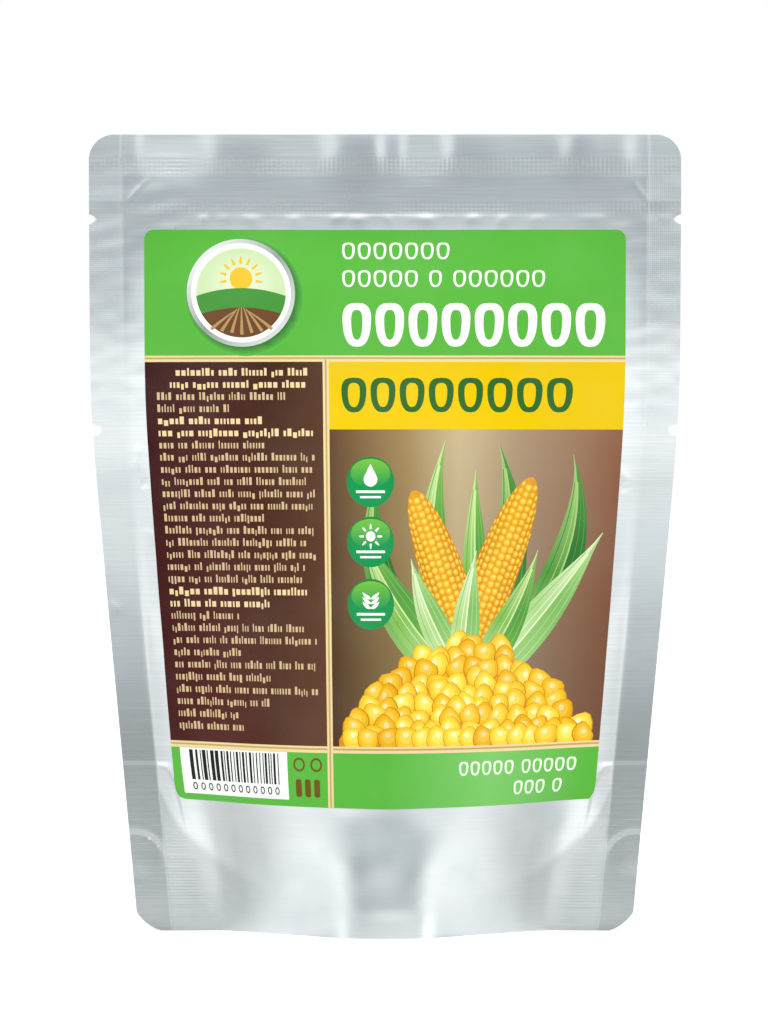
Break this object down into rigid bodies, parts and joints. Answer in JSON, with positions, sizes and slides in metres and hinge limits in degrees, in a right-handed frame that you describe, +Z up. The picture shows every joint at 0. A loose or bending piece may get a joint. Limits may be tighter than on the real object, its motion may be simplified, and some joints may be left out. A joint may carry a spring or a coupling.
{
  "type": "foil stand-up food pouch",
  "caption": "Filled stand-up pouch of aluminium foil film with a gusseted base, side and top seals, tear notches and a printed label on its front.",
  "frame": {"origin": "middle of the base, on the surface that the pouch stands on", "axes": "+Z up, X across the pouch from side seal to side seal, and the labelled front faces -Y"},
  "size_m": [0.14, 0.0634, 0.188],
  "materials": {
    "foil": "satin silver film",
    "label": "glossy print"
  },
  "bodies": {
    "root": {"pouch": "foil", "label": "label"}
  },
  "joints": []
}
